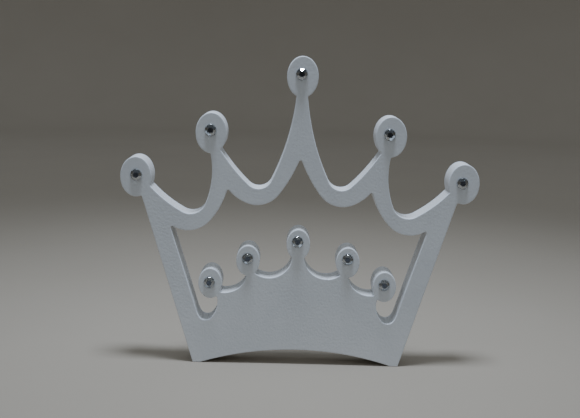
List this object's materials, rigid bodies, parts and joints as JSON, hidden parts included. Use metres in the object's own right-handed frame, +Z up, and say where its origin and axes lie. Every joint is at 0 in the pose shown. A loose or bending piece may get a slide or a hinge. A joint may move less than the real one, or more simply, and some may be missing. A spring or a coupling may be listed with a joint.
{
  "type": "decorative crown",
  "caption": "Free-standing white crown cut-out with oval finials, a smaller crown inside its window and a rhinestone on each finial.",
  "frame": {"origin": "on the surface the crown stands on, midway between its feet, in the middle of the board's thickness", "axes": "+X to the right seen from the front, +Y from the front (stones) to the back, +Z up"},
  "size_m": [0.2, 0.0173, 0.175],
  "materials": {
    "painted_board": "satin white paint on MDF",
    "rhinestone": "polished and faceted",
    "silver_foil": "bright silver",
    "clear_glue": "clear, glossy"
  },
  "bodies": {
    "root": {"crown_board": "painted_board", "glue_outer_left_low": "clear_glue", "foil_outer_left_low": "silver_foil", "stone_outer_left_low": "rhinestone", "glue_outer_left_high": "clear_glue", "foil_outer_left_high": "silver_foil", "stone_outer_left_high": "rhinestone", "glue_outer_top": "clear_glue", "foil_outer_top": "silver_foil", "stone_outer_top": "rhinestone", "glue_outer_right_high": "clear_glue", "foil_outer_right_high": "silver_foil", "stone_outer_right_high": "rhinestone", "glue_outer_right_low": "clear_glue", "foil_outer_right_low": "silver_foil", "stone_outer_right_low": "rhinestone", "glue_inner_left_low": "clear_glue", "foil_inner_left_low": "silver_foil", "stone_inner_left_low": "rhinestone", "glue_inner_left_high": "clear_glue", "foil_inner_left_high": "silver_foil", "stone_inner_left_high": "rhinestone", "glue_inner_top": "clear_glue", "foil_inner_top": "silver_foil", "stone_inner_top": "rhinestone", "glue_inner_right_high": "clear_glue", "foil_inner_right_high": "silver_foil", "stone_inner_right_high": "rhinestone", "glue_inner_right_low": "clear_glue", "foil_inner_right_low": "silver_foil", "stone_inner_right_low": "rhinestone"}
  },
  "joints": []
}
